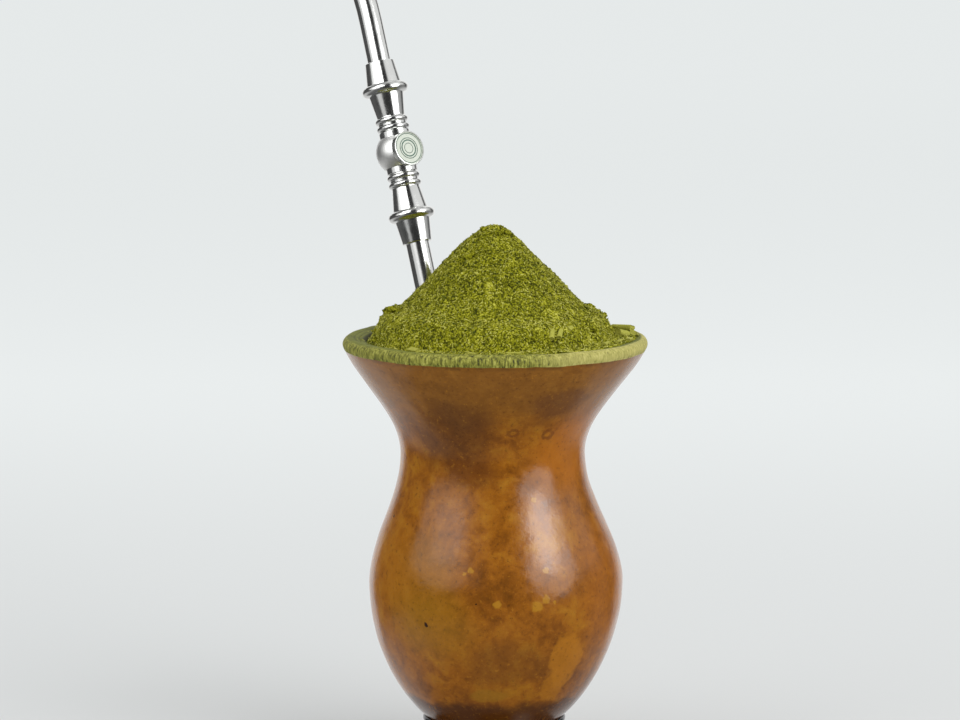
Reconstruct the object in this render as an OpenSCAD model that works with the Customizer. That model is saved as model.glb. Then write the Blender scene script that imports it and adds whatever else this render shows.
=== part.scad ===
// A calabash gourd cup on a black turned foot, heaped with ground yerba mate,
// with a steel drinking straw that leans out of the heap to the left and back.
// Millimetres, +Z up. The origin is the middle of the foot's underside, and the
// front of the cup faces -Y.

/* [Gourd] */
// Outer radius where the flared mouth ends and the cut lip begins
mouth_r = 50.9; // [44:0.1:62]
// Outer radius at the narrow neck
neck_r = 31; // [26:0.1:40]
// Outer radius at the widest part of the belly
belly_r = 42.8; // [35:0.1:55]
// Height from the gourd's lowest point to the belly's widest part
bowl_h = 54.8; // [44:0.1:68]
// Height from the belly's widest part to the neck
shoulder_h = 44.6; // [36:0.1:56]
// Height from the neck to the mouth
flare_h = 35.9; // [29:0.1:45]
// Roundness of the bowl's lower half, where 2 is an ellipse
bowl_fullness = 1.82; // [1.6:0.01:2.4]
// How far the flare's curve turns over, in degrees
flare_turn = 141; // [90:1:160]
// Thickness of the shell
wall = 7; // [4:0.1:9]
// Rounding radius of the lip's outer edge
lip_round = 2.4; // [1.6:0.1:3.4]
// How far the lip's top face falls towards the inside
lip_fall = 0.9; // [0.2:0.1:1.6]
// Length of the lip's inner edge that is rounded away
lip_ease = 1.8; // [1:0.1:2.5]

/* [Foot] */
// Height of the middle of the bead that rings the gourd
bead_z = 18.5; // [15:0.1:24]
// Thickness of the foot under the gourd
foot_floor = 9.7; // [5:0.1:12]
// Radius of the foot's base
foot_r = 31; // [27:0.5:40]
// Radius of the foot's waist
foot_waist_r = 20; // [17:0.5:24]
// Rounding radius of the base's edge
foot_edge = 1.8; // [1:0.1:3]
// Radius of the bead's round section
bead_r = 1.5; // [1:0.1:2.2]
// Distance from the seat's surface out to the middle of the bead
bead_out = 0.2; // [0:0.05:1]
// Gap between the gourd and the foot
seat_gap = 0.3; // [0.1:0.05:0.5]

/* [Mate] */
// Height of the heap's tip above the mouth
heap_h = 41.4; // [30:0.1:52]
// Fall of the heap's sides for each millimetre outwards
heap_slope = 1.106; // [0.85:0.01:1.4]
// Height lost from a sharp cone by the rounding of the tip
tip_blunt = 7.2; // [3:0.1:12]
// Height of the bench of clods round the heap's toe
toe_h = 3.6; // [1:0.1:5]
// Radius at which the bench of clods is highest
toe_r = 36.5; // [30:0.1:42]
// Half width of the bench of clods
toe_w = 4.2; // [2:0.1:7]
// Height of the lumps on the heap's sides
lump_h = 0.7; // [0:0.1:1.5]
// How far the heap spills over the lip's inner edge
spill = 2.2; // [0.5:0.1:3]
// Gap between the mate and the gourd
fill_gap = 0.3; // [0.1:0.05:0.5]

/* [Straw] */
// Outer radius of the tube
tube_r = 4; // [3:0.1:5]
// Thickness of the tube's wall
tube_wall = 0.8; // [0.5:0.1:1.2]
// Lean to the left, in degrees
lean_left = 12.2; // [5:0.1:16]
// Lean to the back, in degrees
lean_back = 13.2; // [5:0.1:16]
// Where the straw's axis crosses the mouth: how far left of the gourd's axis
cross_left = 19.1; // [14:0.1:22]
// Where the straw's axis crosses the mouth: how far behind the gourd's axis
cross_back = 15; // [10:0.1:18]
// Height of the ball's centre above the mouth
ball_up = 62.6; // [52:0.1:85]
// Gap around the straw's lower end
foot_gap = 1.5; // [0.5:0.1:3]
// Gap between the mate and the straw
straw_gap = 0.15; // [0.05:0.05:0.4]
// Straight length from the ball's centre to the bend
bend_start = 46.4; // [38:0.1:60]
// Radius of the bend
bend_r = 92; // [60:1:130]
// Angle of the bend, in degrees
bend_turn = 30; // [10:1:45]

/* [Mouthpiece] */
// Length over which the tube flattens
flatten_l = 13; // [8:0.5:20]
// Length of the flat end
flat_l = 5; // [3:0.5:10]
// Width of the flat end
flat_w = 11; // [9:0.1:13]
// Height of the flat end
flat_h = 4.6; // [4:0.1:6]

/* [Ornament] */
// Radius of the ball
ball_r = 7.6; // [6.6:0.1:9]
// Half the ball's height between its two flat ends
ball_half = 5.2; // [4.4:0.1:5.8]
// Gap between the tube and what is threaded on it
sleeve_fit = 0.05; // [0.02:0.01:0.1]
// Length of a sleeve
sleeve_l = 26.5; // [24:0.1:32]
// Thickness of a sleeve's wall at its plain end
sleeve_end_t = 1; // [0.7:0.05:2]
// Thickness of a sleeve's wall next to its ring
sleeve_max_t = 1.95; // [1.4:0.05:3]
// Thickness of a sleeve's wall at its narrow waist
sleeve_min_t = 0.75; // [0.5:0.05:1.2]
// Distance from a sleeve's inner end to its ring's middle
ring_at = 16.8; // [15:0.1:19]
// How far the ring stands out from the sleeve's bore
ring_t = 3.95; // [3:0.05:5.5]
// Radius of the ring's round section
ring_bead = 1.65; // [1.2:0.05:2]
// Number of small ribs on a sleeve
rib_n = 2; // [1:1:3]
// Distance between the ribs
rib_pitch = 2.65; // [2.2:0.05:3]
// Distance from a sleeve's inner end to the first rib
rib_at = 3.3; // [2.8:0.1:4]
// How far a rib stands out from the sleeve's bore
rib_t = 1.65; // [1.4:0.05:2.5]
// Radius of a rib's round section
rib_bead = 1.05; // [0.7:0.05:1.2]
// Thickness of the collar against the ball
collar_t = 1.25; // [1:0.05:1.5]

/* [Medallion] */
// Radius of the round plate on the ball
plate_r = 6; // [5:0.1:6.6]
// Distance from the ball's centre to the plate's front face
plate_out = 6.7; // [6.3:0.1:8]
// Thickness of the plate in front of the ball's flat
plate_t = 1.2; // [0.8:0.1:2]
// Depth of the skirt that reaches back over the ball
skirt = 0.7; // [0.3:0.1:1]
// Width and height of the plate's raised rim
plate_rim = 0.45; // [0.3:0.05:0.8]
// How far the plate is turned to the right of the front, in degrees
plate_turn = 38; // [0:1:90]

/* [Hidden] */

$fn = 96;
EPS = 0.01;
curve_n = 14;      // steps in each stretch of the gourd's outline
arc_step = 15;     // degrees between points on a small round edge
around_n = 48;     // sides of the heap
rise_n = 15;       // rings up the heap's free surface
skirt_seat = 0.15; // gap between the medallion and the ball
turn_in = 0.2;     // size of the small steps and bevels turned on a sleeve

gourd_z = foot_floor + seat_gap;
belly_z = gourd_z + bowl_h;
neck_z = belly_z + shoulder_h;
mouth_z = neck_z + flare_h;

// ---- small tools ----

function last(list) = list[len(list) - 1];
function flipped(list) = [for (i = [len(list) - 1:-1:0]) list[i]];
function swapped(list) = [for (p = list) [p[1], p[0]]];
function bezier(a, b, c, t) = a * (1 - t) * (1 - t) + b * 2 * t * (1 - t) + c * t * t;
function arc(centre, r, from, to) =
    let (n = max(2, ceil(abs(to - from) / arc_step)))
    [for (i = [0:n]) let (a = from + (to - from) * i / n) centre + r * [cos(a), sin(a)]];

// Unit normal of an outline that runs upwards, on its right-hand side, which is outwards.
function outward(list, i) =
    let (a = list[max(i - 1, 0)], b = list[min(i + 1, len(list) - 1)], d = (b - a) / norm(b - a))
    [d[1], -d[0]];
// The outline moved inwards by d, ending on the axis where it began there.
function moved_in(list, d) =
    [for (i = [0:len(list) - 1])
        let (p = list[i] - d * (i == 0 ? [0, -1] : outward(list, i)))
        [max(p[0], 0), p[1]]];

// ---- the gourd's outline, from its lowest point to the mouth ----

function bowl_radius(drop) = belly_r * sqrt(max(0, 1 - pow(drop, bowl_fullness)));
outline = concat(
    [for (i = [0:curve_n + 4]) let (a = 90 * i / (curve_n + 4))
        [bowl_radius(cos(a)), belly_z - bowl_h * cos(a)]],
    [for (i = [1:curve_n]) let (t = i / curve_n)
        [neck_r + (belly_r - neck_r) * (1 + cos(180 * t)) / 2, belly_z + shoulder_h * t]],
    [for (i = [1:curve_n]) let (t = i / curve_n)
        [neck_r + (mouth_r - neck_r) * (1 - cos(flare_turn * t)) / (1 - cos(flare_turn)),
         neck_z + flare_h * t]]);
mouth_out = outward(outline, len(outline) - 1);
lip_centre = last(outline) - lip_round * mouth_out;
lip_top = lip_centre[1] + lip_round;
cavity = moved_in(outline, wall);
cavity_table = swapped(cavity);
ledge_z = lip_top - lip_fall;
ledge = [lookup(ledge_z, cavity_table), ledge_z];
ledge_low_z = ledge_z - lip_ease;
ledge_low = [lookup(ledge_low_z, cavity_table), ledge_low_z];
lip_slope = lip_fall / (lip_centre[0] - ledge[0]);
ledge_in = ledge + lip_ease * [1, lip_slope];
// The inside of the shell, from the cavity's lowest point up and over the lip's inner edge.
inside = concat([for (p = cavity) if (p[1] < ledge_low_z - EPS) p],
                [for (t = [0:0.2:1]) bezier(ledge_low, ledge, ledge_in, t)]);

module gourd() {
    mouth_angle = atan2(mouth_out[1], mouth_out[0]);
    lip = arc(lip_centre, lip_round, mouth_angle, 90);
    color("sienna") rotate_extrude()
        polygon(concat(outline, [for (i = [1:len(lip) - 1]) lip[i]], flipped(inside)));
}

// ---- the foot: a turned base with a bead round the seat that the gourd stands in ----

module foot() {
    seat = moved_in(outline, -seat_gap);
    bead_track = swapped(moved_in(outline, -seat_gap - bead_out));
    bead_centre = [lookup(bead_z, bead_track), bead_z];
    edge_centre = [foot_r - foot_edge, foot_edge];
    base_top = edge_centre + foot_edge * [cos(60), sin(60)];
    bead_low = bead_centre + bead_r * [cos(-50), sin(-50)];
    waist = [foot_waist_r * 2 - (bead_low[0] + base_top[0]) / 2, (bead_low[1] + base_top[1]) / 2];
    side = [for (t = [0.1:0.1:0.9]) bezier(base_top, waist, bead_low, t)];
    color("#15171a") difference() {
        rotate_extrude()
            polygon(concat([[0, 0]],
                           arc(edge_centre, foot_edge, -90, 60),
                           side,
                           arc(bead_centre, bead_r, -50, 90),
                           [[0, bead_centre[1] + bead_r]]));
        rotate_extrude() polygon(concat(seat, [[0, last(seat)[1]]]));
    }
}

// ---- the straw's axis ----

slope_left = tan(lean_left);
slope_back = tan(lean_back);
axis_length = norm([slope_left, slope_back, 1]);
lean = acos(1 / axis_length);
// Point of the axis at height z.
function axis_at(z) = [-cross_left - slope_left * (z - mouth_z), cross_back + slope_back * (z - mouth_z), z];
function axis_reach(z) = norm([axis_at(z)[0], axis_at(z)[1]]) + tube_r * axis_length;
// The lowest height at which the tube's end stays clear of the cavity's wall.
tube_low_z = min([for (z = [gourd_z + wall + 1:0.5:neck_z])
    if (lookup(z, cavity_table) > axis_reach(z) + foot_gap) z]);
ball_z = mouth_z + ball_up;
tube_below = (ball_z - tube_low_z) * axis_length;
sleeve_bore = tube_r + sleeve_fit;
ring_r = sleeve_bore + ring_t;
collar_r = sleeve_bore + collar_t;
sleeve_far = ball_half + sleeve_fit + sleeve_l;

// Places its children in the straw's own frame: the ball's centre, +Z up the tube.
module on_straw() {
    translate(axis_at(ball_z)) rotate(a = lean, v = [-slope_back, -slope_left, 0]) children();
}

// ---- the mate: it fills the gourd and stands in a heap above the mouth ----

heap_edge = ledge[0] + spill;
heap_edge_z = ledge_z + lip_slope * spill + fill_gap;
sharp_h = heap_h + tip_blunt;
function lumps(r, a) = lump_h * (sin(3 * a + 9 * r) + 0.7 * sin(5 * a - 14 * r + 40) + 0.5 * sin(8 * a + 20 * r));
function bench(r, a) = toe_h * exp(-pow((r - toe_r) / toe_w, 2)) * (1 + 0.25 * sin(4 * a + 70));
function cone(r) = sharp_h - norm([heap_slope * r, tip_blunt]);
function calm(r) = min(1, r / (tip_blunt + EPS)) * min(1, (heap_edge - r) / toe_w);
// Height of the heap at radius r and angle a.
function heap_z(r, a) =
    max(heap_edge_z, mouth_z + cone(r) + bench(r, a) + lumps(r, a) * calm(r));

module mate_heap() {
    fill = moved_in(inside, fill_gap);
    under = [for (i = [1:len(fill) - 1]) fill[i]];
    free_r = [for (i = [0:rise_n - 1]) heap_edge * (1 - i / rise_n)];
    rings = len(under) + rise_n;
    step = 360 / around_n;
    points = concat(
        [for (p = under, k = [0:around_n - 1]) [p[0] * cos(k * step), p[0] * sin(k * step), p[1]]],
        [for (i = [0:rise_n - 1], k = [0:around_n - 1])
            let (r = free_r[i], a = k * step, z = i == 0 ? heap_edge_z : heap_z(r, a))
            [r * cos(a), r * sin(a), z]],
        [[0, 0, fill[0][1]], [0, 0, mouth_z + heap_h]]);
    low = len(points) - 2;
    tip = len(points) - 1;
    top_ring = (rings - 1) * around_n;
    faces = concat(
        [for (k = [0:around_n - 1]) [low, k, (k + 1) % around_n]],
        [for (j = [0:rings - 2], k = [0:around_n - 1])
            let (a = j * around_n + k, b = j * around_n + (k + 1) % around_n)
            each [[a, a + around_n, b], [b, a + around_n, b + around_n]]],
        [for (k = [0:around_n - 1]) [tip, top_ring + (k + 1) % around_n, top_ring + k]]);
    color("olivedrab") difference() {
        polyhedron(points, faces);
        on_straw() {
            translate([0, 0, -tube_below - straw_gap]) cylinder(h = tube_below, r = tube_r + straw_gap);
            translate([0, 0, -sleeve_far - straw_gap]) cylinder(h = sleeve_far, r = ring_r + straw_gap);
        }
    }
}

// ---- the straw's pieces, in the straw's own frame ----

// A straight stretch and a bend to the left, of radius r, with both ends drawn out by past.
module bent_rod(r, past) {
    translate([0, 0, -tube_below - past]) cylinder(h = tube_below + past + bend_start, r = r);
    translate([-bend_r, 0, bend_start]) rotate([90, 0, 0])
        rotate_extrude(angle = bend_turn) translate([bend_r, 0]) circle(r = r);
    if (past > 0) at_bend_end() cylinder(h = past, r = r);
}

module straw_tube() {
    color("gainsboro") on_straw() difference() {
        bent_rod(tube_r, 0);
        bent_rod(tube_r - tube_wall, 1);
    }
}

// Places its children at the end of the bend, +Z along the tube.
module at_bend_end() {
    translate([-bend_r, 0, bend_start]) rotate([0, -bend_turn, 0]) translate([bend_r, 0, 0]) children();
}

// A flat slab with round ends, w wide along Y and h thick along X.
module round_slab(w, h, l) {
    hull() for (side = [-1, 1])
        translate([0, side * (w - h) / 2, 0]) cylinder(h = l, r = h / 2, $fn = 32);
}

// The shape of the mouthpiece, shrunk by an even margin on every side.
module flattened(margin, past) {
    translate([0, 0, -past]) hull() {
        cylinder(h = EPS, r = tube_r - margin, $fn = 32);
        translate([0, 0, flatten_l + past]) round_slab(flat_w - 2 * margin, flat_h - 2 * margin, EPS);
    }
    translate([0, 0, flatten_l]) round_slab(flat_w - 2 * margin, flat_h - 2 * margin, flat_l + past);
}

module mouthpiece() {
    color("gainsboro") on_straw() at_bend_end() translate([0, 0, sleeve_fit]) difference() {
        flattened(0, 0);
        flattened(tube_wall, EPS);
    }
}

// One turned sleeve, from its inner end against the ball to its plain end.
module sleeve() {
    min_r = sleeve_bore + sleeve_min_t;
    max_r = sleeve_bore + sleeve_max_t;
    end_r = sleeve_bore + sleeve_end_t;
    ribs = [for (k = [0:rib_n - 1])
        each arc([sleeve_bore + rib_t - rib_bead, rib_at + k * rib_pitch], rib_bead, -80, 80)];
    waist_z = rib_at + (rib_n - 1) * rib_pitch + rib_bead + turn_in;
    collar_z = rib_at - rib_bead - turn_in;
    rotate_extrude() polygon(concat(
        [[sleeve_bore, 0], [collar_r, 0], [collar_r, collar_z - turn_in], [min_r, collar_z]],
        ribs,
        [[min_r, waist_z], [max_r, ring_at - ring_bead - turn_in]],
        arc([ring_r - ring_bead, ring_at], ring_bead, -70, 70),
        [[max_r, ring_at + ring_bead + turn_in], [end_r, sleeve_l - turn_in]],
        [[end_r - turn_in, sleeve_l], [sleeve_bore, sleeve_l]]));
}

module upper_sleeve() {
    color("silver") on_straw() translate([0, 0, ball_half + sleeve_fit]) sleeve();
}

module lower_sleeve() {
    color("silver") on_straw() mirror([0, 0, 1]) translate([0, 0, ball_half + sleeve_fit]) sleeve();
}

// Turns +Z to the way that the medallion faces.
module facing() {
    rotate([0, 0, plate_turn]) rotate([90, 0, 0]) children();
}

module ball() {
    flat_at = plate_out - plate_t;
    color("silver") on_straw() difference() {
        sphere(r = ball_r);
        cylinder(h = 3 * ball_r, r = sleeve_bore, center = true);
        for (side = [0, 1]) mirror([0, 0, side])
            translate([0, 0, ball_half]) cylinder(h = ball_r, r = 2 * ball_r);
        facing() translate([0, 0, flat_at]) cylinder(h = ball_r, r = 2 * ball_r);
    }
}

module medallion() {
    flat_at = plate_out - plate_t;
    face = plate_out - plate_rim;
    color("#cdd6c4") on_straw() difference() {
        facing() {
            translate([0, 0, flat_at - skirt]) cylinder(h = face - flat_at + skirt, r = plate_r);
            difference() {
                translate([0, 0, face - EPS]) cylinder(h = plate_rim + EPS, r = plate_r);
                translate([0, 0, face - 2 * EPS]) cylinder(h = plate_rim + 4 * EPS, r = plate_r - plate_rim);
            }
        }
        facing() intersection() {
            sphere(r = ball_r + skirt_seat);
            cylinder(h = flat_at + sleeve_fit, r = 2 * ball_r);
        }
        cylinder(h = 3 * plate_r, r = collar_r + sleeve_fit, center = true);
    }
}

foot();
gourd();
mate_heap();
straw_tube();
mouthpiece();
lower_sleeve();
upper_sleeve();
ball();
medallion();
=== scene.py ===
"""A calabash cup on a black turned foot, heaped with ground yerba mate, with a polished steel straw.

Everything is in metres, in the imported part's own frame: +Z up, and the front faces -Y. The straw's
plain parts and the foot are the part's own nodes. The gourd, the mate and the medallion are
modelled here.
"""

import math
import random

import bmesh
import bpy
import numpy as np
from mathutils import Euler, Matrix, Vector, noise
from mathutils.bvhtree import BVHTree


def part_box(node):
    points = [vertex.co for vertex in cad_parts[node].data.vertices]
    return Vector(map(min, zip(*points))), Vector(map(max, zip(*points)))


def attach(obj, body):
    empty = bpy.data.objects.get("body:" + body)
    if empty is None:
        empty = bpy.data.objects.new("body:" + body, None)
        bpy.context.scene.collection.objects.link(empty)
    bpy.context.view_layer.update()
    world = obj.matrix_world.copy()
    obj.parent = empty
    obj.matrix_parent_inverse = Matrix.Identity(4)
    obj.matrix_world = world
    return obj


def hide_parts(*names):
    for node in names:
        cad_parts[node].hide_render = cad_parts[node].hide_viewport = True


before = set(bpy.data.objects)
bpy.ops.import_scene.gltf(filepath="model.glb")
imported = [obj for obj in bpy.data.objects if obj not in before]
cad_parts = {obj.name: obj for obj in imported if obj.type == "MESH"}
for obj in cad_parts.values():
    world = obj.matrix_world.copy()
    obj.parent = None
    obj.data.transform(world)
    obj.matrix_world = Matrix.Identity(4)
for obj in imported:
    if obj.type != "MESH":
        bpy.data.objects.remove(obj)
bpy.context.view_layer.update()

MM = 0.001
random.seed(7)
noise.seed_set(7)

foot_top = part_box("foot")[1].z
gourd_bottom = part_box("gourd")[0].z
heap_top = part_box("mate_heap")[1].z
ball_low, ball_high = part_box("ball")

# ---- the gourd's sizes, as the part has them ----

BOWL_H = 54.8 * MM
SHOULDER_H = 44.6 * MM
FLARE_H = 35.9 * MM
BELLY_R = 42.8 * MM
NECK_R = 31 * MM
MOUTH_R = 50.9 * MM
BOWL_FULLNESS = 1.82
FLARE_TURN = math.radians(141)
WALL = 7 * MM
LIP_ROUND = 2.4 * MM
LIP_FALL = 0.9 * MM
LIP_EASE = 1.8 * MM
BELLY_Z = gourd_bottom + BOWL_H
NECK_Z = BELLY_Z + SHOULDER_H
MOUTH_Z = NECK_Z + FLARE_H
BAND_Z = MOUTH_Z - 0.6 * MM  # where the sanded lip begins on the flare

# ---- the heap's sizes ----

HEAP_H = heap_top - MOUTH_Z
HEAP_SLOPE = 1.106
TIP_BLUNT = 7.2 * MM
BENCH_H = 3.8 * MM
BENCH_R = 36.8 * MM
BENCH_W = 4 * MM

# ---- the straw ----

BALL = (ball_low + ball_high) / 2
STRAW = Vector((-math.tan(math.radians(12.2)), math.tan(math.radians(13.2)), 1)).normalized()
TUBE_R = 4 * MM
PLATE_OUT = 6.7 * MM
PLATE_R = 6 * MM
PLATE_T = 1.2 * MM
PLATE_TURN = math.radians(38)

# ================ small tools ================


def colour(code):
    """Linear RGBA of an sRGB hex colour."""
    channels = [int(code[i:i + 2], 16) / 255 for i in (1, 3, 5)]
    return [c / 12.92 if c <= 0.04045 else ((c + 0.055) / 1.055) ** 2.4 for c in channels] + [1.0]


def smooth(low, high, value):
    """0 at low, 1 at high, and a smooth change between them."""
    t = min(1.0, max(0.0, (value - low) / (high - low)))
    return t * t * (3 - 2 * t)


def per_mm(size):
    """Texture scale at which a pattern on Object coordinates has features of this many millimetres."""
    return 1 / (size * MM)


def plug(tree, made, links):
    """Sets a node's inputs, each to a value, a hex colour or another node's output."""
    for key, value in links.items():
        if isinstance(value, bpy.types.NodeSocket):
            tree.links.new(value, made.inputs[key])
        else:
            made.inputs[key].default_value = colour(value) if isinstance(value, str) else value


def node(tree, kind, links=None, out=0, stops=(), **settings):
    """Adds a shader node with its settings and links, and gives its output of this name or number.

    A colour ramp's stops are (position, colour) pairs, with a hex colour or RGBA. A Mix node of
    colours takes its factor at 0 and its colours at 6 and 7, and gives the result at 2.
    """
    made = tree.nodes.new("ShaderNode" + kind)
    for name, value in settings.items():
        setattr(made, name, value)
    plug(tree, made, links or {})
    while stops and len(made.color_ramp.elements) < len(stops):
        made.color_ramp.elements.new(0.5)
    for number, (position, level) in enumerate(stops):
        element = made.color_ramp.elements[number]
        element.position = position
        element.color = colour(level) if isinstance(level, str) else level
    return made.outputs[out] if made.outputs else made


def blended(tree, under, over, value, start, end, strength=1.0):
    """Lays one colour over another as a value passes smoothly from start to end."""
    share = node(tree, "MapRange", {"Value": value, "From Min": start, "From Max": end, "To Max": strength},
                 interpolation_type="SMOOTHSTEP")
    return node(tree, "Mix", {0: share, 6: under, 7: over}, 2, data_type="RGBA")


def pushed(tree, place, size, detail, far):
    """Coordinates pushed about by noise of this feature size in millimetres, so that outlines wander."""
    rough = node(tree, "TexNoise", {"Vector": place, "Scale": per_mm(size), "Detail": detail}, "Color")
    middle = node(tree, "VectorMath", {0: rough, 1: (0.5, 0.5, 0.5)}, operation="SUBTRACT")
    push = node(tree, "VectorMath", {0: middle, "Scale": far}, operation="SCALE")
    return node(tree, "VectorMath", {0: place, 1: push}, operation="ADD")


def away(tree, place, at, wide, high):
    """Distance from a point, as a share of a half width and a half height in millimetres."""
    gone = node(tree, "VectorMath", {0: place, 1: at}, operation="SUBTRACT")
    shrunk = node(tree, "VectorMath", {0: gone, 1: (wide * MM, wide * MM, high * MM)}, operation="DIVIDE")
    return node(tree, "VectorMath", {0: shrunk}, "Value", operation="LENGTH")


def new_material(name, **surface):
    """A material with one Principled surface, and its tree and shader."""
    made = bpy.data.materials.new(name)
    made.use_nodes = True
    shader = made.node_tree.nodes["Principled BSDF"]
    plug(made.node_tree, shader, {key.replace("_", " "): value for key, value in surface.items()})
    return made, made.node_tree, shader


def in_order(bm):
    """Sorts the faces, which a spin, an extrusion or a thickening leaves in a new order each run."""
    bm.verts.index_update()
    for place, face in enumerate(sorted(bm.faces, key=lambda f: sorted(v.index for v in f.verts))):
        face.index = place
    bm.faces.sort()


def mesh_object(name, bm, materials):
    """A smooth object at the origin from a bmesh, which is freed."""
    in_order(bm)
    mesh = bpy.data.meshes.new(name)
    bm.to_mesh(mesh)
    bm.free()
    for material in materials:
        mesh.materials.append(material)
    mesh.shade_smooth()
    made = bpy.data.objects.new(name, mesh)
    bpy.context.scene.collection.objects.link(made)
    return made


def spun(points, steps):
    """A bmesh of the outline (radius, height) turned once round the Z axis."""
    bm = bmesh.new()
    verts = [bm.verts.new((r, 0, z)) for r, z in points]
    edges = [bm.edges.new(pair) for pair in zip(verts, verts[1:])]
    bmesh.ops.spin(bm, geom=verts + edges, cent=(0, 0, 0), axis=(0, 0, 1),
                   angle=math.tau, steps=steps, use_merge=True)
    bmesh.ops.remove_doubles(bm, verts=bm.verts, dist=0.002 * MM)
    bmesh.ops.recalc_face_normals(bm, faces=bm.faces)
    return bm


def store(mesh, name, values):
    """Keeps one number for each vertex under this name."""
    mesh.attributes.new(name, "FLOAT", "POINT").data.foreach_set("value", np.asarray(values, np.float32))


# ================ the gourd ================

GOURD_STEPS = 240


def outline_radius(z):
    """Outer radius of the gourd at height z, up to the mouth."""
    if z <= BELLY_Z:
        drop = min(1.0, (BELLY_Z - z) / BOWL_H)
        return BELLY_R * math.sqrt(1 - drop ** BOWL_FULLNESS)
    if z <= NECK_Z:
        turn = math.pi * (z - BELLY_Z) / SHOULDER_H
        return NECK_R + (BELLY_R - NECK_R) * (1 + math.cos(turn)) / 2
    turn = FLARE_TURN * (z - NECK_Z) / FLARE_H
    return NECK_R + (MOUTH_R - NECK_R) * (1 - math.cos(turn)) / (1 - math.cos(FLARE_TURN))


def outward(z):
    """Outward normal (radius, height) of the gourd's outline at height z."""
    low = max(z - 0.05 * MM, gourd_bottom)
    high = min(z + 0.05 * MM, MOUTH_Z)
    rise = Vector((outline_radius(high) - outline_radius(low), high - low)).normalized()
    return Vector((rise.y, -rise.x))


def outline_heights():
    """Heights of the outline's points, close together at the bottom and at the lip."""
    bowl = [BELLY_Z - BOWL_H * math.cos(math.radians(a)) for a in np.linspace(0, 90, 44)]
    shoulder = list(np.linspace(BELLY_Z, NECK_Z, 30))
    flare = list(np.linspace(NECK_Z, BAND_Z, 26))
    band = list(np.linspace(BAND_Z, MOUTH_Z, 5))
    return bowl + shoulder[1:] + flare[1:] + band[1:]


def lip_side():
    """Middle of the lip's round edge, as (radius, height)."""
    return Vector((MOUTH_R, MOUTH_Z)) - outward(MOUTH_Z) * LIP_ROUND


LIP_MIDDLE = lip_side()
LEDGE_IN_R = MOUTH_R - WALL - 0.4 * MM
LEDGE_SLOPE = LIP_FALL / (LIP_MIDDLE.x - LEDGE_IN_R)


def ledge_height(r):
    """Height of the lip's top face at radius r."""
    return LIP_MIDDLE.y + LIP_ROUND - LEDGE_SLOPE * max(0.0, LIP_MIDDLE.x - r)


def lip_outline():
    """Points (radius, height) from the mouth over the lip and down its rounded inner edge."""
    side = outward(MOUTH_Z)
    turns = np.linspace(math.atan2(side.y, side.x), math.pi / 2, 12)
    over = [LIP_MIDDLE + LIP_ROUND * Vector((math.cos(a), math.sin(a))) for a in turns[1:]]
    radii = np.linspace(LIP_MIDDLE.x, LEDGE_IN_R + LIP_EASE, 6)
    ledge = [Vector((r, ledge_height(r))) for r in radii[1:]]
    corner = Vector((LEDGE_IN_R, ledge[-1].y))
    low = Vector((LEDGE_IN_R - 0.6 * MM, corner.y - LIP_EASE))
    ease = [ledge[-1] * (1 - t) ** 2 + corner * 2 * t * (1 - t) + low * t * t
            for t in np.linspace(0, 1, 7)]
    return over + ledge + ease[1:]


def inner_outline(top):
    """Points (radius, height) of the shell's inside, from just under top to the lowest point."""
    points = []
    for z in reversed(outline_heights()[::3]):
        moved = Vector((outline_radius(z), z)) - WALL * outward(z)
        if moved.y < top - 0.5 * MM and moved.x > 0:
            points.append(moved)
    return points + [Vector((0, gourd_bottom + WALL))]


def stray(co):
    """How the grown gourd strays from the turned shape at a point of its surface."""
    held = smooth(foot_top, BELLY_Z, co.z)
    at = Vector((co.x, co.y, co.z * 0.7)) / (34 * MM)
    swell = 0.5 * MM * noise.noise(at + Vector((3, 0, 0)))
    dents = 0.14 * MM * noise.noise(co / (8 * MM))
    pores = 0.02 * MM * noise.noise(co / (2 * MM))
    bend = 1 if co.z < BELLY_Z else math.cos(math.pi * (co.z - BELLY_Z) / SHOULDER_H)
    out = Vector((co.x, co.y, 0)).normalized()
    return (out * (swell + dents) + Vector((0.42 * MM * bend, 0, 0))) * held + out * pores


def cut_by_hand(v):
    """Lets the line where the sanding stops wander, and makes the lip's top uneven."""
    r = math.hypot(v.co.x, v.co.y)
    around = Vector((v.co.x / r, v.co.y / r, 0))
    wave = noise.noise(around * 4.5) + 0.45 * noise.noise(around * 17)
    if v.co.z > MOUTH_Z:
        v.co.z += 0.25 * MM * wave
    elif v.co.z > NECK_Z and r > outline_radius(v.co.z) - 0.1 * MM:
        near = smooth(8 * MM, 1 * MM, BAND_Z - v.co.z) * smooth(MOUTH_Z, BAND_Z, v.co.z)
        z = v.co.z + 0.35 * MM * wave * near
        v.co = around * outline_radius(z) + Vector((0, 0, z))


def make_gourd(varnished, sanded):
    """The shell, turned from its outline and then let stray as a grown thing does."""
    outer = [Vector((outline_radius(z), z)) for z in outline_heights()]
    lip = lip_outline()
    bm = spun(outer + lip + inner_outline(lip[-1].y), GOURD_STEPS)
    for face in bm.faces:
        centre = face.calc_center_median()
        r = math.hypot(centre.x, centre.y)
        outside = centre.z < BAND_Z and r > outline_radius(centre.z) - 1 * MM
        face.material_index = 0 if outside else 1
    for v in bm.verts:
        if v.co.xy.length > 1 * MM:
            cut_by_hand(v)
            v.co += stray(v.co)
    made = mesh_object("gourd_shell", bm, [varnished, sanded])
    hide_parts("gourd")
    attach(made, "root")
    return made


def on_gourd(angle, height):
    """Point of the gourd's outside at an angle to the right of the front and a height in millimetres."""
    a = math.radians(angle)
    r = outline_radius(height * MM)
    return Vector((r * math.sin(a), -r * math.cos(a), height * MM))


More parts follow.
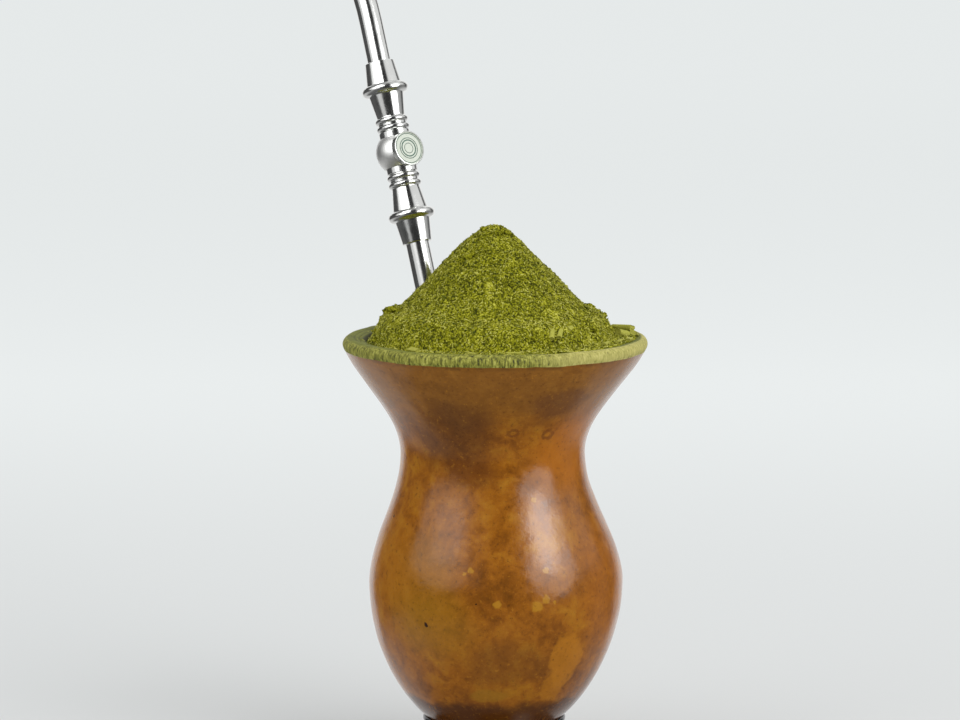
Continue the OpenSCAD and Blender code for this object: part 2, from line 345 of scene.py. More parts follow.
# Stains and lighter fields of the shell: angle and height of the middle, half width and half height
# in millimetres, softness of the edge, strength and colour.
FIELDS = [
    (-26, 119, 15, 11, 1, 0.6, "#4E2E13"),
    (-15, 127, 10, 6, 1, 0.4, "#573417"),
    (-14, 107, 9, 5, 0.8, 0.55, "#5E3210"),
    (31, 131, 11, 5, 0.8, 0.6, "#5F381A"),
    (50, 113, 14, 12, 1, 0.7, "#A8620E"),
    (-38, 70, 14, 17, 1, 0.45, "#97650F"),
    (-30, 57, 15, 11, 1, 0.35, "#94690F"),
    (8, 45, 15, 8, 0.7, 0.5, "#693F12"),
    (37, 44, 6.5, 12, 0.25, 0.6, "#AC6E14"),
    (31, 35, 5, 6, 0.3, 0.6, "#A46812"),
    (62, 68, 13, 20, 1, 0.45, "#A05C08"),
    (-62, 76, 12, 18, 1, 0.4, "#9A5E0A"),
    (-3, 33.5, 5.5, 3, 0.4, 0.8, "#8F6110"),
    (150, 70, 22, 26, 0.7, 0.6, "#8E6414"),
    (-110, 52, 18, 15, 0.6, 0.6, "#633C12"),
    (110, 122, 14, 10, 0.8, 0.6, "#573417"),
    (-150, 118, 12, 12, 0.8, 0.55, "#9C5A0C"),
    (170, 40, 9, 12, 0.2, 0.7, "#9A6316"),
]
# Pale scars: angle, height and radius in millimetres.
SCARS = [(1, 66, 1.3), (19, 65, 1.9), (23, 67.2, 1.4), (27, 65.8, 0.6), (24, 76.4, 1), (20, 75.2, 0.4),
         (-11, 76.8, 0.9), (-14, 75.6, 0.6), (23, 98.4, 0.8), (140, 62, 1.6), (-120, 84, 1.2)]
# Dark nicks, in the same way.
NICKS = [(-32, 58, 0.8), (-8, 66.4, 0.45), (-70, 90, 0.6), (100, 50, 0.7)]
# Small ring marks: angle, height, half width and half height.
RINGS = [(10, 121.2, 2.1, 1.5), (31, 120, 2.3, 1.9), (-95, 112, 2, 1.5)]


def make_varnished():
    """Dried calabash shell, polished and varnished: a mottled orange-brown skin with a soft gloss."""
    made, tree, shader = new_material("varnished_calabash", Roughness=0.3, IOR=1.5)
    place = node(tree, "TexCoord", out="Object")
    height = node(tree, "SeparateXYZ", {0: place}, "Z")
    cloud = node(tree, "TexNoise", {"Vector": place, "Scale": per_mm(26), "Detail": 3, "Roughness": 0.55})
    mottle = node(tree, "TexNoise", {"Vector": place, "Scale": per_mm(5.5), "Detail": 6, "Roughness": 0.65,
                                     "Distortion": 0.4})
    leather = node(tree, "TexNoise", {"Vector": place, "Scale": per_mm(1.3), "Detail": 4, "Roughness": 0.7})
    both = node(tree, "Mix", {0: 0.55, 2: cloud, 3: mottle})
    skin = node(tree, "ValToRGB", {"Fac": both}, stops=[(0.3, "#56310A"), (0.43, "#7A460A"),
                                                        (0.52, "#8E540A"), (0.6, "#9A620C"),
                                                        (0.72, "#A97415")])
    bent = pushed(tree, place, 9, 4, 9 * MM)
    bent_height = node(tree, "SeparateXYZ", {0: bent}, "Z")
    # the flare is duller and more olive than the belly, as the varnish was rubbed thin there
    dull = node(tree, "Mix", {0: mottle, 6: "#684012", 7: "#906020"}, 2, data_type="RGBA")
    skin = blended(tree, skin, dull, bent_height, 119 * MM, 134 * MM, 0.8)
    for angle, up, wide, high, soft, strength, code in FIELDS:
        far = away(tree, bent, on_gourd(angle, up), wide, high)
        skin = blended(tree, skin, code, far, 1 + soft / 2, 1 - soft / 2, strength)
    # powder and handling darkened the skin in patches just under the sanded lip
    patchy = node(tree, "MapRange", {"Value": mottle, "From Min": 0.42, "From Max": 0.6, "To Max": 0.45},
                  interpolation_type="SMOOTHSTEP")
    skin = blended(tree, skin, "#3A220C", height, BAND_Z - 1.6 * MM, BAND_Z - 0.3 * MM, patchy)
    skin = blended(tree, skin, "#45230A", bent_height, 31 * MM, 27.8 * MM, 0.85)
    small = pushed(tree, place, 1.4, 2, 1.6 * MM)
    for angle, up, size in SCARS:
        far = away(tree, small, on_gourd(angle, up), size, size)
        skin = blended(tree, skin, "#A8761A", far, 1.25, 0.75, 0.8)
    for angle, up, size in NICKS:
        far = away(tree, small, on_gourd(angle, up), size, size)
        skin = blended(tree, skin, "#2A1506", far, 1.2, 0.7)
    for angle, up, wide, high in RINGS:
        far = away(tree, small, on_gourd(angle, up), wide, high)
        off = node(tree, "Math", {0: far, 1: 0.8}, operation="SUBTRACT")
        edge = node(tree, "Math", {0: off}, operation="ABSOLUTE")
        skin = blended(tree, skin, "#5A2C0A", edge, 0.5, 0.1, 0.55)
    # fine darker leathery veins and paler flecks over everything
    skin = blended(tree, skin, "#A86F1A", leather, 0.56, 0.8, 0.8)
    skin = blended(tree, skin, "#3E2206", leather, 0.46, 0.26, 0.55)
    gloss = node(tree, "MapRange", {"Value": mottle, "From Min": 0.3, "From Max": 0.7, "To Min": 0.14,
                                    "To Max": 0.23})
    dents = node(tree, "TexNoise", {"Vector": place, "Scale": per_mm(3.5), "Detail": 2, "Roughness": 0.55})
    relief = node(tree, "Math", {0: dents, 1: 1.5, 2: leather}, operation="MULTIPLY_ADD")
    bump = node(tree, "Bump", {"Height": relief, "Distance": 0.08 * MM, "Strength": 0.6})
    plug(tree, shader, {"Base Color": skin, "Roughness": gloss, "Normal": bump})
    return made


def make_sanded():
    """Raw calabash rim, cut and sanded: pale green pith with short upright fibres, stained by the herb."""
    made, tree, shader = new_material("sanded_calabash_rim", Roughness=0.72, Specular_IOR_Level=0.3)
    place = node(tree, "TexCoord", out="Object")
    upright = node(tree, "Mapping", {"Vector": place, "Scale": (1, 1, 0.22)})
    fibre = node(tree, "TexNoise", {"Vector": upright, "Scale": per_mm(0.7), "Detail": 4, "Roughness": 0.7})
    cloud = node(tree, "TexNoise", {"Vector": place, "Scale": per_mm(9), "Detail": 3, "Roughness": 0.55})
    pith = node(tree, "ValToRGB", {"Fac": fibre}, stops=[(0.34, "#26270A"), (0.43, "#62621C"),
                                                         (0.54, "#86852F"), (0.68, "#B2AF58")])
    flat = node(tree, "VectorMath", {0: place, 1: (1, 1, 0)}, operation="MULTIPLY")
    out = node(tree, "VectorMath", {0: flat}, "Value", operation="LENGTH")
    # the top face was rubbed with powder, so it is darker and greener than the cut side
    ringed = node(tree, "CombineXYZ", {0: out})
    saw = node(tree, "TexNoise", {"Vector": ringed, "Scale": per_mm(0.8), "Detail": 2, "Roughness": 0.7})
    both = node(tree, "Mix", {0: 0.4, 2: saw, 3: cloud})
    top = node(tree, "ValToRGB", {"Fac": both}, stops=[(0.35, "#43470C"), (0.5, "#666A1B"),
                                                       (0.65, "#7F822C")])
    pith = blended(tree, pith, top, out, 49.8 * MM, 49 * MM)
    # the right-hand stretch of the cut side, which faces the brighter right lamp, is painted paler: painted
    # light
    right = node(tree, "SeparateXYZ", {0: place}, "X")
    painted_light_side = node(tree, "ValToRGB", {"Fac": fibre}, stops=[(0.34, "#7E7938"), (0.44, "#9D974E"),
                                                          (0.56, "#B0A85E"), (0.7, "#C0B872")])
    side = node(tree, "MapRange", {"Value": out, "From Min": 48.6 * MM, "From Max": 49.6 * MM},
                interpolation_type="SMOOTHSTEP")
    pith = blended(tree, pith, painted_light_side, right, 9 * MM, 30 * MM, side)
    pits = node(tree, "TexVoronoi", {"Vector": upright, "Scale": per_mm(2.2)})
    pith = blended(tree, pith, "#3A3810", pits, 0.17, 0.07, 0.7)
    pith = blended(tree, pith, "#34350F", out, 44.6 * MM, 43.2 * MM, 0.8)
    bump = node(tree, "Bump", {"Height": fibre, "Distance": 0.25 * MM, "Strength": 0.7})
    plug(tree, shader, {"Base Color": pith, "Normal": bump})
    return made


# ================ the mate ================

GRID = 290  # lines of the core's grid each way
STREWN_R = 46  # how far out loose grains are strewn, in millimetres


def foot_radius(angle):
    """How far out the powder reaches, at an angle to the right of the front."""
    right = math.sin(angle)
    spread = 45.3 + 1.6 * smooth(-0.2, 0.9, right) - 3.6 * smooth(0.45, 1, -right)
    around = Vector((math.sin(angle), math.cos(angle), 0))
    return (spread + 0.7 * noise.noise(around * 6) + 0.35 * noise.noise(around * 21)) * MM


# Where lumps have broken out of the heap: angle to the right of the front, radius and depth in millimetres.
BREAKS = [(-36, 12.8, 1.7), (-46, 15.5, 1.2), (12, 30, 1), (-160, 20, 1.6), (130, 14, 1.2)]


def broken(x, y):
    """Depth of the broken-out places at a point of the plan."""
    depth = 0.0
    for angle, r, deep in BREAKS:
        a = math.radians(angle)
        apart = math.hypot(x - r * MM * math.sin(a), y + r * MM * math.cos(a))
        depth += deep * MM * math.exp(-((apart / (1.5 * MM)) ** 2))
    return depth


def heap_height(x, y):
    """Height of the powder's surface above the mouth, before its grain, at a point of the plan."""
    angle = math.atan2(x, -y)
    r = math.hypot(x, y)
    reach = math.hypot(x + 0.4 * MM, y)
    cone = HEAP_H - 0.8 * MM + TIP_BLUNT - math.hypot(HEAP_SLOPE * reach, TIP_BLUNT)
    around = Vector((math.sin(angle), math.cos(angle), 0))
    bench = BENCH_H * (1 + 0.35 * noise.noise(around * 3.1)) * math.exp(-((r - BENCH_R) / BENCH_W) ** 2)
    flat = Vector((x, y, 0)) / MM
    on_side = smooth(2 * MM, 12 * MM, r) * smooth(foot_radius(angle), 40 * MM, r)
    lumps = (0.75 * noise.noise(flat / 9) + 0.5 * noise.noise(flat / 4.2)) * on_side
    furrows = 0.55 * noise.noise(around * 7 + Vector((0, 0, r / (30 * MM)))) * on_side
    tip = 1.1 * noise.noise(flat / 3.3 + Vector((5, 1, 0))) * smooth(13 * MM, 3 * MM, r)
    edge = smooth(foot_radius(angle), foot_radius(angle) - 9 * MM, r)
    ledge = ledge_height(r) - MOUTH_Z
    drift = 1.5 * MM * math.exp(-(((x - 43.5 * MM) / (5 * MM)) ** 2 + ((y - 5 * MM) / (8 * MM)) ** 2))
    toe = ledge + drift + (0.25 + 2.1 * edge + 0.3 * noise.noise(flat / 2)) * MM
    return max(cone + bench - broken(x, y) + (lumps + furrows + tip) * MM, toe)


def grain_relief(at):
    """Relief of the powder at a point in millimetres: crumbs under a millimetre, and clods between them."""
    crumbs = 0.4 - noise.voronoi(at / 0.7)[0][0]
    clods = max(0.0, noise.noise(at / 3.1) - 0.2)
    return 0.3 * crumbs + 0.5 * clods + 0.12 * noise.noise(at / 0.5)


def make_heap(powder):
    """The heap's core: a fine grid laid over the powder's surface, closed down into the gourd."""
    bm = bmesh.new()
    bmesh.ops.create_grid(bm, x_segments=GRID, y_segments=GRID, size=1)
    shades = {}
    for v in bm.verts:
        u, w = v.co.x, v.co.y
        disc = Vector((u * math.sqrt(1 - w * w / 2), w * math.sqrt(1 - u * u / 2)))
        angle = math.atan2(disc.x, -disc.y)
        share = min(1.0, disc.length)
        r = share * (foot_radius(angle) + 0.7 * MM)
        x, y = r * math.sin(angle), -r * math.cos(angle)
        z = heap_height(x, y)
        relief = grain_relief(Vector((x, y, z)) / MM)
        calm = smooth(1, 0.96, share)
        sunk = 0.9 * MM * smooth(0.975, 1, share)
        v.co = (x, y, MOUTH_Z + z + relief * MM * calm - sunk)
        # painted shade and light: the colour follows the grain's relief, darker in the hollows between crumbs
        # and lighter on their tops, and a little lighter near the heap's top
        shades[v.index] = 0.46 + 1.5 * relief + 0.07 * smooth(18 * MM, 8 * MM, r)
    rim = [e for e in bm.edges if e.is_boundary]
    inside = inner_outline(ledge_height(0))
    steps = [(LEDGE_IN_R - 0.5 * MM, ledge_height(0) - 3 * MM)]
    steps += [(p.x - 0.3 * MM, p.y) for p in inside[2:-4:3]]
    for r, z in steps:
        grown = bmesh.ops.extrude_edge_only(bm, edges=rim)["geom"]
        for v in (g for g in grown if isinstance(g, bmesh.types.BMVert)):
            out = v.co.xy.normalized()
            v.co = (out.x * r, out.y * r, z)
        rim = [g for g in grown if isinstance(g, bmesh.types.BMEdge)]
    bmesh.ops.holes_fill(bm, edges=rim, sides=0)
    bmesh.ops.triangulate(bm, faces=[f for f in bm.faces if len(f.verts) > 4])
    bmesh.ops.recalc_face_normals(bm, faces=bm.faces)
    count = len(bm.verts)
    made = mesh_object("mate_powder", bm, [powder])
    store(made.data, "shade", [shades.get(i, 0.5) for i in range(count)])
    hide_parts("mate_heap")
    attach(made, "root")
    return made


def tree_of(*objects):
    """A search tree of the objects' surfaces."""
    verts, faces = [], []
    for made in objects:
        start = len(verts)
        verts += [v.co.copy() for v in made.data.vertices]
        faces += [[start + i for i in p.vertices] for p in made.data.polygons]
    return BVHTree.FromPolygons(verts, faces)


def clear_of_straw(at, gap):
    """Whether a point lies this far from the tube's surface."""
    arm = at - BALL
    return (arm - STRAW * arm.dot(STRAW)).length > TUBE_R + gap


def dropped(tree, r, angle):
    """Point and normal where something let fall at this radius and angle comes to lie."""
    above = Vector((r * math.sin(angle), -r * math.cos(angle), heap_top + 20 * MM))
    at, normal, _, _ = tree.ray_cast(above, Vector((0, 0, -1)))
    return at, normal


def lying(at, normal, size, tilt, sink):
    """Matrix that lays a unit shape, long along X, on the surface at a random heading."""
    turn = Matrix.Rotation(random.uniform(0, math.tau), 4, "Z")
    lift = Euler((random.uniform(0, math.tau), random.uniform(-tilt, tilt), 0)).to_matrix().to_4x4()
    stand = normal.to_track_quat("Z", "Y").to_matrix().to_4x4()
    grow = Matrix.Diagonal((*size, 1))
    return Matrix.Translation(at - normal * sink) @ stand @ turn @ lift @ grow


def joined(name, shapes, placements, material):
    """One piece from many placements, each (matrix, shade, shape number)."""
    verts, faces, shades = [], [], []
    start = 0
    for matrix, shade, kind in placements:
        points, polygons = shapes[kind]
        moved = points @ np.array(matrix.to_3x3()).T + np.array(matrix.translation)
        verts.append(moved)
        faces += [[start + i for i in p] for p in polygons]
        shades += [shade] * len(points)
        start += len(points)
    mesh = bpy.data.meshes.new(name)
    mesh.from_pydata(np.concatenate(verts).tolist(), [], faces)
    mesh.materials.append(material)
    mesh.shade_smooth()
    store(mesh, "shade", shades)
    made = bpy.data.objects.new(name, mesh)
    bpy.context.scene.collection.objects.link(made)
    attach(made, "root")
    return made


def as_shape(bm):
    """Points and polygons of a bmesh, which is freed."""
    in_order(bm)
    points = np.array([v.co for v in bm.verts])
    polygons = [[v.index for v in f.verts] for f in bm.faces]
    bm.free()
    return points, polygons


def crumb(seed, rounds=1, rough=0.25):
    """An uneven unit grain."""
    bm = bmesh.new()
    bmesh.ops.create_icosphere(bm, subdivisions=rounds, radius=0.5)
    for v in bm.verts:
        swell = noise.noise(v.co * 2.3 + Vector((seed, 0, 0)))
        v.co *= 1 + rough * (1.4 * swell + 0.7 * noise.noise(v.co * 6 + Vector((0, seed, 0))))
    return as_shape(bm)


def sliver(seed):
    """A unit fibre along X, four-sided and a little bent."""
    bm = bmesh.new()
    turn = Matrix.Rotation(math.pi / 2, 4, "Y")
    bmesh.ops.create_cone(bm, cap_ends=True, segments=4, radius1=0.5, radius2=0.35, depth=1, matrix=turn)
    for v in bm.verts:
        v.co.z += 0.3 * math.sin(seed) * (0.5 - abs(v.co.x)) * 2
    return as_shape(bm)


def flake(seed):
    """A unit leaf fragment with a torn outline, curled and with a real thickness."""
    bm = bmesh.new()
    bmesh.ops.create_grid(bm, x_segments=2, y_segments=2, size=0.5)
    for v in bm.verts:
        tear = noise.noise_vector(v.co * 3 + Vector((seed * 3.7, 0, 0)))
        v.co += Vector((tear.x, tear.y, 0)) * 0.32
        v.co.z = 0.35 * (v.co.x ** 2 - 0.4 * v.co.y ** 2) + 0.12 * tear.z
    bmesh.ops.solidify(bm, geom=bm.faces[:], thickness=0.09)
    bmesh.ops.recalc_face_normals(bm, faces=bm.faces)
    return as_shape(bm)


def stem(seed, split):
    """A unit piece of chopped stem along X, with ridged bark, uneven ends and a flat face if it split."""
    bm = bmesh.new()
    turn = Matrix.Rotation(math.pi / 2, 4, "Y")
    bmesh.ops.create_cone(bm, cap_ends=True, segments=14, radius1=0.5, radius2=0.44, depth=1, matrix=turn)
    ends = [f for f in bm.faces if len(f.verts) > 4]
    bmesh.ops.inset_individual(bm, faces=ends, thickness=0.12, depth=0)
    for face in ends:
        for v in face.verts:
            v.co.x *= 0.93
    long_edges = [e for e in bm.edges if abs(e.verts[0].co.x - e.verts[1].co.x) > 0.8]
    bmesh.ops.subdivide_edges(bm, edges=long_edges, cuts=7, use_grid_fill=True)
    for v in bm.verts:
        around = math.atan2(v.co.z, v.co.y)
        ridge = 1 + 0.07 * math.sin(7 * around + seed) + 0.16 * noise.noise(v.co * 2)
        v.co.y *= ridge
        v.co.z = v.co.z * ridge + 0.04 * math.sin(seed * 2 + 2 * v.co.x)
        v.co.x += 0.1 * noise.noise(Vector((around, seed, 0))) * (1 if v.co.x > 0 else -1)
        if split:
            v.co.z = min(v.co.z, 0.26 + 0.1 * v.co.y)
    bmesh.ops.recalc_face_normals(bm, faces=bm.faces)
    return as_shape(bm)


def set_down(tree, angle, r, size, heading, sink, shade, kind, tilt=0.0):
    """Placement of one thing at an angle and radius, turned by a heading, with one end lifted."""
    at, normal = dropped(tree, r * MM, math.radians(angle))
    flat = Vector((normal.x, normal.y, normal.z * 1.5)).normalized()
    stand = flat.to_track_quat("Z", "Y").to_matrix().to_4x4()
    turn = Matrix.Rotation(math.radians(heading), 4, "Z") @ Matrix.Rotation(math.radians(tilt), 4, "Y")
    grow = Matrix.Diagonal((size[0] * MM, size[1] * MM, size[2] * MM, 1))
    lift = normal * (size[2] * (0.5 - sink)) * MM
    return Matrix.Translation(at + lift) @ stand @ turn @ grow, shade, kind


def strewn(tree, count, inner, outer, sizes, tilt, sink, shades, kinds, gap=1.0):
    """Placements strewn evenly over the surface between two radii in millimetres."""
    made = []
    while len(made) < count:
        r = math.sqrt(random.uniform(inner ** 2, outer ** 2)) * MM
        angle = random.uniform(0, math.tau)
        at, normal = dropped(tree, r, angle)
        size = [random.uniform(*span) * MM for span in sizes]
        spilt = r > foot_radius(angle) + 0.4 * MM and random.random() > 0.04
        if spilt or not clear_of_straw(at, gap * MM):
            continue
        made.append((lying(at, normal, size, tilt, sink * MM), random.uniform(*shades),
                     random.randrange(kinds)))
    return made


# The larger clods: angle to the right of the front in degrees, radius and size in millimetres.
CLODS = [(-79, 34.5, 4.4), (-86, 35.5, 3), (-38, 12.6, 3.2), (-44, 14.2, 2.2), (40, 4.6, 2.6), (10, 5.5, 2.8),
         (-60, 4.2, 2.8), (-73, 41, 2.2), (150, 30, 3.6), (-140, 34, 4), (110, 34, 3)]
# The larger pieces of stem: angle, radius, heading and tilt in degrees, length and width in millimetres.
STEMS = [(29, 38.1, 60, 0, 4.4, 1.8), (33.5, 38.3, 64, 0, 4.2, 1.7), (41, 37.4, 20, 10, 2.6, 1.5),
         (99, 43.8, -8, 0, 7, 3.8), (91, 46.6, -20, 4, 5, 2.8), (86, 42.6, -40, 0, 4.8, 3),
         (76, 46.2, 10, 0, 5, 1.8), (71, 43.4, -30, 0, 3.6, 1.5), (60, 42.4, 15, 0, 3.6, 1.3),
         (-37, 43.6, 5, 0, 5.4, 2), (-10, 43.8, -3, 0, 6.6, 1.4), (-25, 43, 20, 0, 2.8, 1),
         (8, 43.6, 4, 0, 5.2, 1.2), (150, 43, 40, 0, 4, 1.6), (-140, 42.6, 10, 0, 4.6, 1.4)]


def make_powder_material(name, stops, bump_depth=0.12):
    """Ground leaf, dried and sieved: dull olive dust whose crumbs differ in tone."""
    made, tree, shader = new_material(name, Roughness=0.9, Specular_IOR_Level=0.12)
    place = node(tree, "TexCoord", out="Object")
    # the dust itself is finer than half a millimetre, but would then show as one flat colour
    fine = node(tree, "TexNoise", {"Vector": place, "Scale": per_mm(0.48), "Detail": 3, "Roughness": 0.7})
    cloud = node(tree, "TexNoise", {"Vector": place, "Scale": per_mm(7), "Detail": 3, "Roughness": 0.55})
    pits = node(tree, "TexVoronoi", {"Vector": place, "Scale": per_mm(0.7)})
    height = node(tree, "SeparateXYZ", {0: place}, "Z")
    specks = node(tree, "Math", {0: fine, 1: 1.8, 2: -0.9}, operation="MULTIPLY_ADD")
    patches = node(tree, "Math", {0: cloud, 1: 0.35, 2: -0.175}, operation="MULTIPLY_ADD")
    # painted shade: the edges of half-millimetre cells are darkened, for the gaps between crumbs too small to
    # shade one another
    dark = node(tree, "MapRange", {"Value": pits, "From Min": 0.4, "From Max": 0.75, "To Max": -0.4},
                interpolation_type="SMOOTHSTEP")
    # the lower slopes, from about 24 mm above the mouth down to 5 mm, are made lighter
    lower = node(tree, "MapRange", {"Value": height, "From Min": MOUTH_Z + 24 * MM,
                                    "From Max": MOUTH_Z + 5 * MM, "To Max": 0.1},
                 interpolation_type="SMOOTHSTEP")
    tone = node(tree, "Attribute", out="Fac", attribute_name="shade")
    for change in (specks, patches, dark, lower):
        tone = node(tree, "Math", {0: tone, 1: change}, operation="ADD")
    dust = node(tree, "ValToRGB", {"Fac": tone}, stops=stops)
    bump = node(tree, "Bump", {"Height": fine, "Distance": bump_depth * MM, "Strength": 0.8})
    plug(tree, shader, {"Base Color": dust, "Normal": bump})
    return made


def make_stem_material():
    """Chopped and dried mate stem: pale wood with fine fibres and a greener bark."""
    made, tree, shader = new_material("dried_mate_stem", Roughness=0.75, Specular_IOR_Level=0.25)
    place = node(tree, "TexCoord", out="Object")
    fibre = node(tree, "TexNoise", {"Vector": place, "Scale": per_mm(0.45), "Detail": 3, "Roughness": 0.7})
    shade = node(tree, "Attribute", out="Fac", attribute_name="shade")
    own = node(tree, "Math", {0: shade, 1: 0.7}, operation="MULTIPLY")
    tone = node(tree, "Math", {0: fibre, 1: 0.5, 2: own}, operation="MULTIPLY_ADD")
    pale = node(tree, "ValToRGB", {"Fac": tone}, stops=[(0.35, "#5A5B14"), (0.6, "#908F30"),
                                                        (0.85, "#B2B04A"), (1.0, "#C8C568")])
    bump = node(tree, "Bump", {"Height": fibre, "Distance": 0.1 * MM, "Strength": 0.7})
    plug(tree, shader, {"Base Color": pale, "Normal": bump})
    return made


def make_mate(gourd):
    """The heap's core, and everything that lies loose on it and on the lip."""
    powder_stops = [(0.0, "#2E3000"), (0.3, "#626300"), (0.5, "#84830F"), (0.7, "#A19F2C"),
                    (1.0, "#C4C05C")]
    fibre_stops = [(0.0, "#5C5E04"), (0.5, "#A6A432"), (1.0, "#DAD67C")]
    flake_stops = [(0.0, "#343B0A"), (0.4, "#5F6618"), (0.75, "#808534"), (1.0, "#A19F4C")]
    powder = make_powder_material("ground_mate_powder", powder_stops)
    fibres = make_powder_material("ground_mate_fibre", fibre_stops, 0.04)
    leaves = make_powder_material("crushed_mate_leaf", flake_stops, 0.06)
    wood = make_stem_material()
    heap = make_heap(powder)
    tree = tree_of(heap, gourd)
    grit = [(0.28, 0.7), (0.25, 0.46), (0.2, 0.42)]
    crumbs = strewn(tree, 8500, 0, STREWN_R, grit, 3, 0.08, (0.04, 1.04), 5)
    joined("mate_crumbs", [crumb(k) for k in range(5)], crumbs, powder)
    thread = [(0.5, 1.5), (0.16, 0.27), (0.14, 0.22)]
    slivers = strewn(tree, 12500, 0, STREWN_R, thread, 0.5, -0.06, (-0.08, 1.05), 4)
    joined("mate_fibres", [sliver(k) for k in range(4)], slivers, fibres)
    torn = strewn(tree, 900, 0, STREWN_R, [(0.6, 1.5), (0.4, 1), (0.5, 1)], 0.5, 0.0, (0.1, 0.9), 6)
    joined("mate_flakes", [flake(k) for k in range(6)], torn, leaves)
    clods = strewn(tree, 60, 31, 41, [(1.4, 3.2), (1.2, 2.6), (0.9, 1.7)], 3, 0.4, (0.4, 0.65), 4, 3)
    clods += strewn(tree, 14, 5, 31, [(1.4, 2.6), (1.2, 2.2), (0.8, 1.5)], 3, 0.5, (0.4, 0.65), 4, 3)
    for angle, r, size in CLODS:
        spread = (size, size * 0.85, size * 0.7)
        clods.append(set_down(tree, angle, r, spread, 40, 0.25, 0.5, len(clods) % 4))
    joined("mate_clods", [crumb(10 + k, 3, 0.5) for k in range(4)], clods, powder)
    stems = strewn(tree, 70, 0, 44, [(1.1, 2.4), (0.35, 0.7), (0.3, 0.55)], 0.5, 0.05, (0.3, 1.0), 5, 2)
    for angle, r, heading, tilt, long, wide in STEMS:
        size = (long, wide, wide * 0.8)
        stems.append(set_down(tree, angle, r, size, heading, 0.26, 0.64, len(stems) % 5, tilt))
    sharp_edges(joined("mate_stems", [stem(k, k > 1) for k in range(5)], stems, wood), 38)


# ================ the straw ================


def make_steel(name, least, most, dull="#DCDDDB", bright="#E9EAE8"):
    """Stainless steel, drawn, turned and polished, its roughness wandering between two values."""
    made, tree, shader = new_material(name, Metallic=1.0, Roughness=least)
    place = node(tree, "TexCoord", out="Object")
    cloud = node(tree, "TexNoise", {"Vector": place, "Scale": per_mm(6), "Detail": 3, "Roughness": 0.55})
    tint = node(tree, "Mix", {0: cloud, 6: dull, 7: bright}, 2, data_type="RGBA")
    smear = node(tree, "MapRange", {"Value": cloud, "From Min": 0.3, "From Max": 0.7,
                                    "To Min": least, "To Max": most})
    waves = node(tree, "TexNoise", {"Vector": place, "Scale": per_mm(9), "Detail": 1, "Roughness": 0.55})
    bump = node(tree, "Bump", {"Height": waves, "Distance": 0.06 * MM, "Strength": 0.25})
    plug(tree, shader, {"Base Color": tint, "Roughness": smear, "Normal": bump})
    return made


def make_plate_materials():
    """Medallion: a bright turned rim, and a pale grey-green enamelled face with darker rings, the outermost
    of which is painted shade of the rim.
    """
    finishes = [
        ("turned_steel_rim", {"Metallic": 1.0, "Roughness": 0.3}, 3, 2, "#CDD0CB", "#DDDFDB"),
        ("pale_enamel", {"Roughness": 0.4, "IOR": 1.5}, 1.6, 3, "#C0C6B8", "#CCD1C5"),
        # the darker line finish colours the enamelled rings and also the ring of painted shade just inside
        # the rim
        ("enamel_line_and_rim_shade", {"Roughness": 0.5, "IOR": 1.5}, 1.2, 3, "#48685A", "#5F7B6B"),
    ]
    materials = []
    for name, surface, size, detail, dull, bright in finishes:
        made, tree, shader = new_material(name, **surface)
        place = node(tree, "TexCoord", out="Object")
        cloud = node(tree, "TexNoise", {"Vector": place, "Scale": per_mm(size), "Detail": detail,
                                        "Roughness": 0.55})
        tint = node(tree, "Mix", {0: cloud, 6: dull, 7: bright}, 2, data_type="RGBA")
        plug(tree, shader, {"Base Color": tint})
        materials.append(made)
    return materials


def make_medallion(materials):
    """The round plate: a raised rim, and rings sunk into its face."""
    flat = PLATE_OUT - PLATE_T
    face = PLATE_OUT - 0.45 * MM
    cut = 0.16 * MM
    outline = [(0, face), (0.9 * MM, face)]
    # the three inner rings are the enamelled pattern; the ring at 5 mm, just inside the raised rim, is
    # painted shade of the rim, sunk and coloured dark all round
    for r, wide in ((1.6, 0.18), (2.55, 0.42), (3.4, 0.24), (5, 0.2)):
        outline += [(r * MM, face), ((r + 0.05) * MM, face - cut), ((r + wide) * MM, face - cut),
                    ((r + wide + 0.05) * MM, face)]
    outline += [(5.46 * MM, face), (5.5 * MM, face + 0.2 * MM), (5.55 * MM, PLATE_OUT - 0.05 * MM),
                (5.62 * MM, PLATE_OUT), (5.84 * MM, PLATE_OUT), (5.95 * MM, PLATE_OUT - 0.07 * MM),
                (PLATE_R, PLATE_OUT - 0.2 * MM), (PLATE_R, flat - 0.6 * MM),
                (PLATE_R - 0.08 * MM, flat - 0.6 * MM), (PLATE_R - 0.1 * MM, flat + 0.05 * MM),
                (0, flat + 0.05 * MM)]
    bm = spun(outline, 96)
    for f in bm.faces:
        centre = f.calc_center_median()
        r = centre.xy.length
        sunk = face - 2 * cut < centre.z < face - 0.3 * cut
        f.material_index = 0 if r > 5.48 * MM or centre.z < flat + 0.2 * MM else 2 if sunk else 1
    turn = Matrix.Rotation(PLATE_TURN, 4, "Z") @ Matrix.Rotation(math.pi / 2, 4, "X")
    lean = Vector((0, 0, 1)).rotation_difference(STRAW).to_matrix().to_4x4()
    bmesh.ops.transform(bm, verts=bm.verts, matrix=Matrix.Translation(BALL) @ lean @ turn)
    made = mesh_object("medallion_plate", bm, materials)
    sharp_edges(made, 35)
    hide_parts("medallion")
    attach(made, "root")


def sharp_edges(made, angle):
    """Keeps edges sharper than an angle in degrees crisp, and shades the rest smooth."""
    made.data.set_sharp_from_angle(angle=math.radians(angle))


# ================ the foot ================


